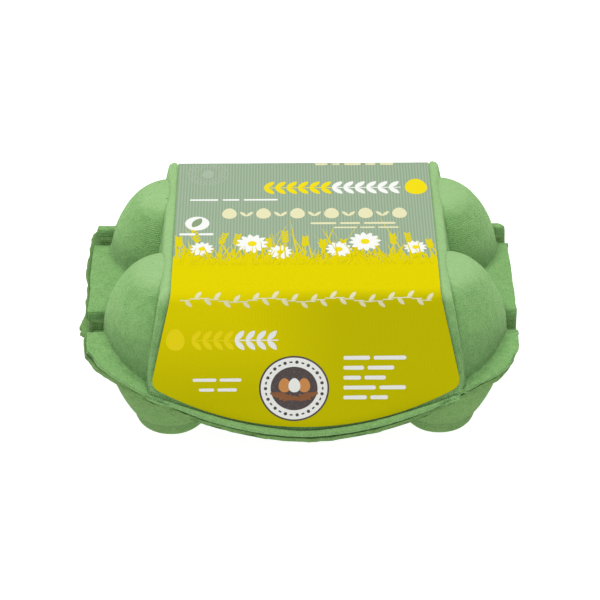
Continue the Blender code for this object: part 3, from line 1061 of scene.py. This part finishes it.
    def fray(self, bm: bmesh.types.BMesh) -> None:
        """Push the outline in and out so that the cut edge is uneven.

        Args:
            bm: the sheet, before it has its thickness.
        """
        for vert in [vert for vert in bm.verts if vert.is_boundary]:
            outward = Vector((vert.co.x / 1.4, vert.co.y * 1.2, 0.0)).normalized()
            wave = ripple(vert.co.x, vert.co.y, self.edge_lift_size, self.seed + 9.0)
            lift = self.edge_lift * self.ragged * wave
            vert.co += outward * self.rough_edge(vert.co.x, vert.co.y) + Vector((0.0, 0.0, lift))

    def thicken(self, bm: bmesh.types.BMesh) -> None:
        """Give the sheet its thickness, away from the side that shows."""
        bmesh.ops.solidify(bm, geom=bm.faces, thickness=self.layer)
        bmesh.ops.recalc_face_normals(bm, faces=bm.faces)


@dataclass
class WrapLabel:
    """The paper band over the saddle, and the surface that its print lies on."""

    MAP_NAME = "print_map"
    MAP_METRES = 0.1

    form: CartonForm
    gap: float = 0.0003
    thickness: float = 0.0003
    front_height: float = 0.0193
    corner_height: float = 0.0336
    edge_power: float = 1.95
    back_height: float = 0.0445
    corner_round: float = 0.0024
    slack_rise: float = 0.00045
    slack_reach: float = 0.0100
    edge_crowding: float = 1.15
    columns: int = 96
    rows: int = 150

    def __post_init__(self) -> None:
        """Work out the lengths of the straight and curved stretches that the paper follows."""
        form = self.form
        self.turn = math.radians(90.0) - math.atan(form.panel_slope)
        self.radius = form.saddle_round / math.tan(self.turn / 2)
        self.arc_y = form.saddle_half_depth - form.saddle_round
        self.arc_z = form.saddle_top - self.radius
        self.fold_z = self.arc_z + self.radius * math.cos(self.turn)
        self.panel = (self.fold_z - self.front_height) / math.sin(self.turn)
        self.arc = self.radius * self.turn
        self.flat = 2.0 * self.arc_y
        self.back_panel = (self.fold_z - self.back_height) / math.sin(self.turn)
        self.fold = self.panel + self.arc / 2

    @property
    def length(self) -> float:
        """Return the band's length along its middle."""
        return self.panel + self.back_panel + 2.0 * self.arc + self.flat

    def section(self, along: float) -> tuple[float, float, float]:
        """Follow the saddle from the middle of the label's front edge.

        Args:
            along: distance along the paper.

        Returns:
            Y and Z on the saddle, and the angle of its normal back from straight up.
        """
        form = self.form
        middle = self.panel + self.arc + self.flat / 2
        side = -1.0 if along < middle else 1.0
        out = abs(along - middle) - self.flat / 2
        if out <= 0.0:
            return form.saddle_middle + (along - middle), form.saddle_top, 0.0
        angle = min(out / self.radius, self.turn)
        y = self.arc_y + self.radius * math.sin(angle)
        z = self.arc_z + self.radius * math.cos(angle)
        rest = max(out - self.arc, 0.0)
        y += rest * math.cos(self.turn)
        z -= rest * math.sin(self.turn)
        return form.saddle_middle + side * y, z, side * angle

    def start(self, across: float) -> float:
        """Find where the label's curved front edge is.

        Args:
            across: share of the half width, from -1 to 1.

        Returns:
            Distance along the paper from the middle of the front edge.
        """
        height = mix(self.front_height, self.corner_height, abs(across) ** self.edge_power)
        into = self.corner_round - (1.0 - abs(across)) * self.form.label_half_width
        if into > 0.0:
            height += self.corner_round - math.sqrt(max(self.corner_round ** 2 - into ** 2, 0.0))
        return (height - self.front_height) / math.sin(self.turn)

    def point(self, x: float, along: float, lift: float) -> Vector:
        """Return the place in the carton's frame of a point on the print.

        Args:
            x: distance from the label's middle line.
            along: distance along the paper from the middle of its front edge.
            lift: height above the paper's face.

        Returns:
            The point.
        """
        y, z, angle = self.section(along)
        slack = self.slack_rise * blend(self.slack_reach, 0.0, along)
        off = self.gap + self.thickness + slack + lift
        return Vector((x, y + off * math.sin(angle) + self.form.midline, z + off * math.cos(angle)))

    def build(self, finish: bpy.types.Material) -> bpy.types.Object:
        """Make the paper.

        Args:
            finish: the printed paper's material.

        Returns:
            The sheet, which stands for the label's solid.
        """
        bm = bmesh.new()
        bmesh.ops.create_grid(bm, x_segments=self.columns, y_segments=self.rows, size=1.0)
        flat_map = bm.loops.layers.uv.new(self.MAP_NAME)
        places = {}
        for vert in bm.verts:
            share = vert.co.x
            across = math.copysign(1.0 - (1.0 - abs(share)) ** self.edge_crowding, share)
            along = mix(self.start(across), self.length, (vert.co.y + 1.0) / 2)
            x = across * self.form.label_reach(self.section(along)[1])
            places[vert] = (x / self.MAP_METRES + 0.5, along / self.MAP_METRES)
            vert.co = self.point(x, along, 0.0)
        for face in bm.faces:
            for loop in face.loops:
                loop[flat_map].uv = places[loop.vert]
        bmesh.ops.recalc_face_normals(bm, faces=bm.faces)
        if sum(face.normal.z for face in bm.faces) < 0.0:
            bmesh.ops.reverse_faces(bm, faces=bm.faces)
        bmesh.ops.solidify(bm, geom=bm.faces, thickness=self.thickness)
        piece = to_object("label_paper", bm, finish)
        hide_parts("label")
        return piece


class Motif:
    """Flat shapes for the print: each turns a point of the unit circle into one of its outline."""

    @staticmethod
    def disc(radius: float) -> Outline:
        """Return a circle."""
        return lambda x, y: (radius * x, radius * y)

    @staticmethod
    def egg(width: float, height: float) -> Outline:
        """Return an egg, blunt end down."""
        return lambda x, y: (width / 2 * x * (1.0 - 0.14 * y), height / 2 * y)

    @staticmethod
    def bar(width: float, height: float) -> Outline:
        """Return a bar with round ends."""
        run = max(width - height, 0.0) / 2
        return lambda x, y: (math.copysign(run, x) + height / 2 * x, height / 2 * y)

    @staticmethod
    def leaf(length: float, width: float) -> Outline:
        """Return a pointed leaf that starts at its stalk and points along the label."""
        return lambda x, y: (width / 2 * x * abs(x) ** 0.5, length * (y + 1.0) / 2)

    @staticmethod
    def stalk(length: float, width: float, lean: float) -> Outline:
        """Make a thin stalk that tapers to its tip.

        Args:
            length: its length.
            width: its width at the foot.
            lean: how far over its tip is, in metres.

        Returns:
            The outline.
        """

        def place(x: float, y: float) -> Point2:
            """Place one point of the stalk."""
            share = (y + 1.0) / 2
            return lean * share * share + width / 2 * x * (1.0 - 0.6 * share), length * share

        return place


@dataclass
class InkLayer:
    """All the shapes that one ink prints, as one thin piece on the label."""

    ink: Ink
    label: WrapLabel
    name: str
    lift: float
    thickness: float = 0.000012
    shim: float = 0.0000006
    shims: int = 14
    arc_cuts: int = 10
    slack_cuts: int = 8

    def __post_init__(self) -> None:
        """Start the layer's mesh."""
        self.bm = bmesh.new()
        self.count = 0

    def stamp(self, outline: Outline, x: float, along: float, tilt: float = 0.0, sides: int = 14) -> None:
        """Print a filled shape, a hair higher or lower than the ones before so that none coincide.

        Args:
            outline: the shape about its own middle.
            x: where its middle is across the label.
            along: where its middle is along the label.
            tilt: its turn in degrees.
            sides: points round it.
        """
        cos, sin = math.cos(math.radians(tilt)), math.sin(math.radians(tilt))
        made = bmesh.ops.create_circle(self.bm, cap_ends=True, radius=1.0, segments=sides)
        height = self.shim * (self.count % self.shims)
        for vert in made["verts"]:
            px, py = outline(vert.co.x, vert.co.y)
            vert.co = (x + px * cos - py * sin, along + px * sin + py * cos, height)
        self.count += 1

    def ring(self, outer: float, inner: float, x: float, along: float, sides: int = 56) -> None:
        """Print a ring.

        Args:
            outer: outer radius.
            inner: inner radius.
            x: where its middle is across the label.
            along: where its middle is along the label.
            sides: points round it.
        """
        edges = set()
        for radius in (outer, inner):
            made = bmesh.ops.create_circle(self.bm, cap_ends=False, radius=radius, segments=sides)
            bmesh.ops.translate(self.bm, verts=made["verts"], vec=(x, along, 0.0))
            edges.update(edge for vert in made["verts"] for edge in vert.link_edges)
        bmesh.ops.bridge_loops(self.bm, edges=list(edges))

    def row_of_bars(self, x: float, along: float, widths: Sequence[float], height: float, gap: float) -> None:
        """Print bars side by side from x on.

        Args:
            x: left end of the first bar.
            along: where the row is along the label.
            widths: the bars' widths.
            height: their height.
            gap: room between them.
        """
        for width in widths:
            self.stamp(Motif.bar(width, height), x + width / 2, along)
            x += width + gap

    def build(self) -> bpy.types.Object:
        """Cut the shapes where the paper bends, lay them on it and give them a hair's thickness.

        Returns:
            The layer's piece.
        """
        label = self.label
        bends = [
            mix(label.panel, label.panel + label.arc, i / self.arc_cuts) for i in range(self.arc_cuts + 1)
        ]
        bends += [label.slack_reach * (i + 1) / self.slack_cuts for i in range(self.slack_cuts)]
        for bend in bends:
            geom = list(self.bm.verts) + list(self.bm.edges) + list(self.bm.faces)
            bmesh.ops.bisect_plane(self.bm, geom=geom, plane_co=(0.0, bend, 0.0), plane_no=(0.0, 1.0, 0.0))
        for vert in self.bm.verts:
            vert.co = label.point(vert.co.x, vert.co.y, self.lift + vert.co.z)
        self.bm.normal_update()
        for face in self.bm.faces:
            if face.normal.dot(Vector((0.0, -0.3, 1.0))) < 0.0:
                face.normal_flip()
        bmesh.ops.solidify(self.bm, geom=self.bm.faces, thickness=self.thickness)
        return to_object(self.name, self.bm, self.ink.value.make())


@dataclass
class PrintedDesign:
    """A plain country design for the label: a meadow, eggs, leaves and bars, and a round badge."""

    label: WrapLabel
    horizon: float = 0.0622
    level_height: float = 0.000014
    ring_at: Point2 = (-0.034, 0.1180)
    badge_at: Point2 = (-0.0040, 0.0140)
    garland_along: float = 0.0456
    garland_half: float = 0.0400
    garland_wave: float = 0.0006
    egg_row_start: Point2 = (-0.0260, 0.0930)
    egg_pitch: float = 0.0118
    egg_count: int = 6
    side_margin: float = 0.003
    edge_blades: float = 0.006
    seed_heads: int = 15
    tufts: int = 5
    petals: int = 12
    front_blades: int = 90
    ring_dots: int = 22
    garland_leaves: int = 26
    badge_marks: int = 30
    nest_straws: int = 17
    layers: list[InkLayer] = field(default_factory=list)

    def layer(self, ink: Ink, name: str, level: int = 1) -> InkLayer:
        """Start a layer of one ink.

        Args:
            ink: the ink.
            name: the piece's name.
            level: how many layers up from the paper it lies.

        Returns:
            The layer.
        """
        made = InkLayer(ink, self.label, name, self.level_height * level)
        self.layers.append(made)
        return made

    def meadow(self) -> None:
        """Draw tall seed heads and white daisies over the printed grass."""
        heads = self.layer(Ink.YELLOW, "print_seed_heads")
        span = self.label.form.label_half_width - self.side_margin
        for i in range(self.seed_heads):
            x = mix(-span, span, i / (self.seed_heads - 1)) + 0.002 * ripple(i * 3.1, 0.3, 1.0, 2.0)
            tall = 0.0125 + 0.012 * abs(ripple(i * 1.3, 4.4, 1.0, 9.0))
            lean = 0.008 * ripple(i * 2.7, 1.9, 1.0, 4.0)
            heads.stamp(Motif.stalk(tall, 0.00065, lean), x, self.horizon)
            for j in range(self.tufts):
                share = 1.0 - 0.075 * j
                for side in (-1.0, 1.0):
                    tuft = Motif.leaf(0.0021, 0.0009)
                    heads.stamp(tuft, x + lean * share * share, self.horizon + tall * share, -32.0 * side, 8)
        daisies = self.layer(Ink.WHITE, "print_daisies", 3)
        hearts = self.layer(Ink.LIGHT_YELLOW, "print_daisy_hearts", 5)
        flowers = (
            (-0.0350, 0.0095, 0.0042),
            (-0.0180, 0.0125, 0.0056),
            (-0.0085, 0.0075, 0.0042),
            (0.0115, 0.0090, 0.0046),
            (0.0205, 0.0135, 0.0056),
            (0.0375, 0.0100, 0.0040),
        )
        for i, (x, up, radius) in enumerate(flowers):
            for petal in range(self.petals):
                turn = petal * 360.0 / self.petals + 9.0 * i
                daisies.stamp(Motif.leaf(radius, radius * 0.42), x, self.horizon + up, turn)
            hearts.stamp(Motif.disc(radius * 0.28), x, self.horizon + up)
        blades = self.layer(Ink.YELLOW, "print_front_grass", 7)
        for i in range(self.front_blades):
            x = mix(-span, span, i / (self.front_blades - 1)) + 0.003 * ripple(i * 3.7, 0.8, 1.0, 6.0)
            tall = 0.0050 + 0.016 * abs(ripple(i * 2.1, 6.4, 1.0, 8.0))
            lean = 0.012 * ripple(i * 1.9, 3.3, 1.0, 3.0)
            if abs(x) > span - self.edge_blades:
                lean = -math.copysign(lean, x)
            blades.stamp(Motif.stalk(tall, 0.00075, lean), x, self.horizon, 0.0, 8)

    def sprig(
        self, stems: Sequence[InkLayer], x: float, along: float, pairs: int, pitch: float, size: float
    ) -> None:
        """Print a level twig with paired leaves, in one ink after another.

        Args:
            stems: the layers, each of which takes an equal share of the twig.
            x: its left end.
            along: where it is along the label.
            pairs: how many pairs of leaves.
            pitch: room between pairs.
            size: a leaf's length.
        """
        each = pairs / len(stems)
        for i in range(pairs):
            ink = stems[int(i / each)]
            ink.stamp(Motif.bar(pitch * 1.06, size * 0.10), x + pitch * (i + 0.5), along)
            for tilt in (-42.0, -138.0):
                ink.stamp(Motif.leaf(size, size * 0.42), x + pitch * i, along, tilt)

    def top(self) -> None:
        """Print the grey-green field: a ring, bars, a twig with an egg, and a row of eggs."""
        mist = self.layer(Ink.MIST, "print_ring")
        (x, along), reach = self.ring_at, 0.0058
        for outer, inner in ((0.0072, 0.0068), (0.0047, 0.0044)):
            mist.ring(outer, inner, x, along)
        for i in range(self.ring_dots):
            angle = math.tau * i / self.ring_dots
            mist.stamp(Motif.disc(0.0005), x + reach * math.cos(angle), along + reach * math.sin(angle))
        mist.stamp(Motif.egg(0.0042, 0.0054), x, along, 0.0, 20)
        cream = self.layer(Ink.CREAM, "print_row_of_eggs", 2)
        cream.row_of_bars(0.0040, 0.1243, (0.0046, 0.0030, 0.0062, 0.0038, 0.0050), 0.0017, 0.0014)
        white = self.layer(Ink.WHITE, "print_twig_right", 2)
        yellow = self.layer(Ink.LIGHT_YELLOW, "print_twig_left", 1)
        self.sprig((yellow, white), -0.0140, 0.1090, 12, 0.0040, 0.0052)
        yellow.stamp(Motif.egg(0.0078, 0.0098), 0.0395, 0.1095, 0.0, 28)
        white.row_of_bars(-0.0400, 0.1015, (0.0100, 0.0060, 0.0120), 0.0010, 0.0014)
        start, along = self.egg_row_start
        for i in range(self.egg_count):
            x = start + self.egg_pitch * i
            cream.stamp(Motif.egg(0.0051, 0.0064), x, along, 0.0, 24)
            if i < self.egg_count - 1:
                for tilt in (38.0, -38.0):
                    cream.stamp(Motif.leaf(0.0036, 0.0014), x + self.egg_pitch / 2, 0.0912, tilt)
        cream.row_of_bars(0.0020, 0.0868, (0.0090, 0.0070, 0.0110), 0.0012, 0.0012)
        cream.row_of_bars(0.0100, 0.0842, (0.0080, 0.0052, 0.0072), 0.0009, 0.0010)
        white.stamp(Motif.disc(0.0042), -0.0370, 0.0870, 0.0, 32)
        white.row_of_bars(-0.0430, 0.0805, (0.0056, 0.0052), 0.0013, 0.0010)
        sage = self.layer(Ink.SAGE, "print_small_leaf", 4)
        sage.stamp(Motif.leaf(0.0060, 0.0030), -0.0385, 0.0848, -28.0, 18)

    def front(self) -> None:
        """Print the yellow panel: a garland, a twig with an egg, bars and the round badge."""
        garland = self.layer(Ink.CREAM, "print_garland")
        for i in range(self.garland_leaves):
            x = mix(-self.garland_half, self.garland_half, i / (self.garland_leaves - 1))
            along = self.garland_along + self.garland_wave * math.sin(i * 0.9)
            garland.stamp(Motif.bar(0.0034, 0.00035), x, along)
            garland.stamp(Motif.leaf(0.0031, 0.0013), x, along, -48.0 if i % 2 else -132.0)
        white = self.layer(Ink.WHITE, "print_front_white", 2)
        light = self.layer(Ink.LIGHT_YELLOW, "print_front_light")
        self.sprig((light, white), -0.0380, 0.0315, 8, 0.0036, 0.0046)
        light.stamp(Motif.egg(0.0062, 0.0078), -0.0435, 0.0318, 0.0, 28)
        bars = ((0.0090, 0.0110), (0.0070, 0.0090), (0.0060, 0.0072), (0.0110, 0.0090), (0.0080, 0.0060))
        for i, widths in enumerate(bars):
            white.row_of_bars(0.0125, 0.0250 - 0.0036 * i, widths, 0.0015, 0.0011)
        white.row_of_bars(-0.0380, 0.0172, (0.0080, 0.0074), 0.0012, 0.0010)
        white.row_of_bars(-0.0360, 0.0136, (0.0052, 0.0066), 0.0012, 0.0010)
        self.badge(*self.badge_at)

    def badge(self, x: float, along: float) -> None:
        """Print a round badge: a dark ring with pale dots round a nest of eggs.

        Args:
            x: where its middle is across the label.
            along: where its middle is along the label.
        """
        self.layer(Ink.PLUM, "print_badge_disc", 2).stamp(Motif.disc(0.0118), x, along, 0.0, 56)
        self.layer(Ink.WHITE, "print_badge_band", 3).stamp(Motif.disc(0.0112), x, along, 0.0, 56)
        dark = self.layer(Ink.PLUM, "print_badge_marks", 4)
        dark.stamp(Motif.disc(0.0079), x, along, 0.0, 44)
        for i in range(self.badge_marks):
            angle = math.tau * i / self.badge_marks
            tilt = math.degrees(angle) - 90.0
            px, py = x + 0.0096 * math.cos(angle), along + 0.0096 * math.sin(angle)
            dark.stamp(Motif.bar(0.0011, 0.0006 + 0.0006 * (i % 2)), px, py, tilt, 10)
        nest = self.layer(Ink.BROWN, "print_badge_nest", 5)
        for i in range(self.nest_straws):
            px = mix(-0.0058, 0.0058, i / (self.nest_straws - 1))
            dip = 0.0022 * (1.0 - (px / 0.0062) ** 2)
            tilt = 90.0 + 50.0 * ripple(i * 1.7, 0.6, 1.0, 5.0)
            nest.stamp(Motif.bar(0.0046, 0.0011), x + px, along - 0.0016 - dip, tilt - 90.0, 8)
        eggs = self.layer(Ink.ORANGE, "print_badge_eggs", 7)
        pale_eggs = self.layer(Ink.WHITE, "print_badge_pale_eggs", 9)
        for i, px in enumerate((-0.0032, 0.0034, 0.0001)):
            layer = pale_eggs if i == 2 else eggs
            layer.stamp(Motif.egg(0.0040, 0.0052), x + px, along + 0.0012, 0.0, 20)

    def build(self) -> list[bpy.types.Object]:
        """Print the design.

        Returns:
            One piece for each layer.
        """
        self.meadow()
        self.top()
        self.front()
        return [layer.build() for layer in self.layers]


@dataclass
class Studio:
    """A pale floor, soft light from above and the camera at the photograph's angle."""

    middle_y: float
    target_height: float = 0.030
    distance: float = 0.7968
    elevation: float = 36.61
    azimuth: float = -0.55
    focal_pixels: float = 2249.4
    centre_x: float = 304.6
    centre_y: float = 308.14
    frame_pixels: float = 600.0
    sensor: float = 36.0
    clip: Point2 = (0.05, 20.0)
    floor_size: float = 6.0
    floor_grey: Colour = (0.35, 0.35, 0.35)
    floor_glow: float = 0.92
    surround: float = 0.42
    lamp_size: float = 0.8
    lamps: tuple[tuple[str, Point3, float], ...] = (
        ("key", (-0.12, 0.08, 1.1), 11.5),
        ("fill", (0.10, -0.90, 0.60), 2.0),
    )

    def camera(self) -> None:
        """Place the camera."""
        lens = bpy.data.cameras.new("camera")
        lens.sensor_width = self.sensor
        lens.lens = self.focal_pixels / self.frame_pixels * self.sensor
        lens.shift_x = -(self.centre_x / self.frame_pixels - 0.5)
        lens.shift_y = self.centre_y / self.frame_pixels - 0.5
        lens.clip_start, lens.clip_end = self.clip
        holder = bpy.data.objects.new("camera", lens)
        rise, turn = math.radians(self.elevation), math.radians(self.azimuth)
        level = Vector((math.sin(turn), -math.cos(turn), 0.0)) * math.cos(rise)
        target = Vector((0.0, self.middle_y, self.target_height))
        holder.location = target + self.distance * (level + Vector((0.0, 0.0, math.sin(rise))))
        holder.rotation_euler = (math.radians(90.0) - rise, 0.0, turn)
        bpy.context.scene.collection.objects.link(holder)
        bpy.context.scene.camera = holder

    def lamp(self, name: str, place: Point3, power: float) -> None:
        """Hang a square soft light that looks at the carton.

        Args:
            name: its name.
            place: where it hangs.
            power: its power in watts.
        """
        lamp = bpy.data.lights.new(name, "AREA")
        lamp.size = self.lamp_size
        lamp.energy = power
        holder = bpy.data.objects.new(name, lamp)
        holder.location = place
        holder.rotation_euler = (-Vector(place)).to_track_quat("-Z", "Y").to_euler()
        bpy.context.scene.collection.objects.link(holder)

    def floor(self) -> None:
        """Lay the pale floor, which glows a little so that hardly a shadow falls on it."""
        bm = bmesh.new()
        bmesh.ops.create_grid(bm, x_segments=1, y_segments=1, size=self.floor_size)
        mesh = bpy.data.meshes.new("floor")
        bm.to_mesh(mesh)
        bm.free()
        bench = Bench("floor")
        bench.feed(bench.shader, {
            "Base Color": self.floor_grey,
            "Roughness": 0.9,
            "Specular IOR Level": 0.0,
            "Emission Color": (1.0, 1.0, 1.0),
            "Emission Strength": self.floor_glow,
        })
        mesh.materials.append(bench.material)
        plane = bpy.data.objects.new("floor", mesh)
        bpy.context.scene.collection.objects.link(plane)

    def sky(self) -> None:
        """Fill the shadows with an even white surround."""
        world = bpy.data.worlds.new("surround")
        world.use_nodes = True
        background = world.node_tree.nodes["Background"]
        background.inputs["Color"].default_value = (1.0, 1.0, 1.0, 1.0)
        background.inputs["Strength"].default_value = self.surround
        bpy.context.scene.world = world

    def build(self) -> None:
        """Set up the studio."""
        self.floor()
        self.sky()
        self.camera()
        for setting in self.lamps:
            self.lamp(*setting)
        view = bpy.context.scene.view_settings
        view.view_transform = "Standard"
        view.look = "None"


def main() -> None:
    """Build the carton's layers, its label and print, and the studio."""
    logging.basicConfig(level=logging.INFO, format="%(name)s: %(message)s")
    form = CartonForm()
    pulp = PulpFinish().make()
    # Painted shade: the tray gets a darker copy of the same pulp, standing in for the shade on its cups and
    # underside.
    tray_pulp_painted_shade = PulpFinish(
        name="pulp_green_tray_painted_shade", pale=(0.220, 0.380, 0.130), deep=(0.118, 0.250, 0.068), sheen=0.35
    ).make()
    lid = Moulding(
        name="lid",
        form=form,
        height=form.lid_height,
        layer=form.lid_layer,
        faces_up=True,
        column_bands=((0.0440, 0.0560, 0.00042), (0.0560, 0.0620, 0.00070), (0.0620, 0.0750, 0.00045)),
        row_bands=(
            (form.front, -0.0500, 0.00030),
            (-0.0500, -0.0296, 0.00048),
            (-0.0296, -0.0130, 0.00042),
            (0.0220, 0.0360, 0.00044),
        ),
        seed=1.0,
        ragged=0.00014,
        insets=(0.0008, 0.0),
        back_bulge=0.0005,
    )
    lid.build(pulp)
    tray = Moulding(
        name="tray",
        form=form,
        height=form.tray_height,
        layer=form.tray_layer - 0.0003,
        faces_up=False,
        column_bands=((0.0300, 0.0610, 0.00060), (0.0610, 0.0750, 0.00050)),
        row_bands=(
            (form.front, -0.0480, 0.00045),
            (-0.0480, -0.0296, 0.00060),
            (-0.0296, -0.0170, 0.00045),
            (-0.0170, -0.0050, 0.00060),
            (0.0220, 0.0360, 0.00050),
        ),
        seed=31.0,
        ragged=0.00045,
        insets=(-0.0003, 0.0004),
        torn_tip=0.0015,
        back_bulge=0.0012,
    )
    tray.build(tray_pulp_painted_shade)
    label = WrapLabel(form)
    design = PrintedDesign(label)
    label.build(LabelFinish().make(label.fold, design.horizon))
    design.build()
    Studio(form.midline).build()


if __name__ == "__main__":
    main()
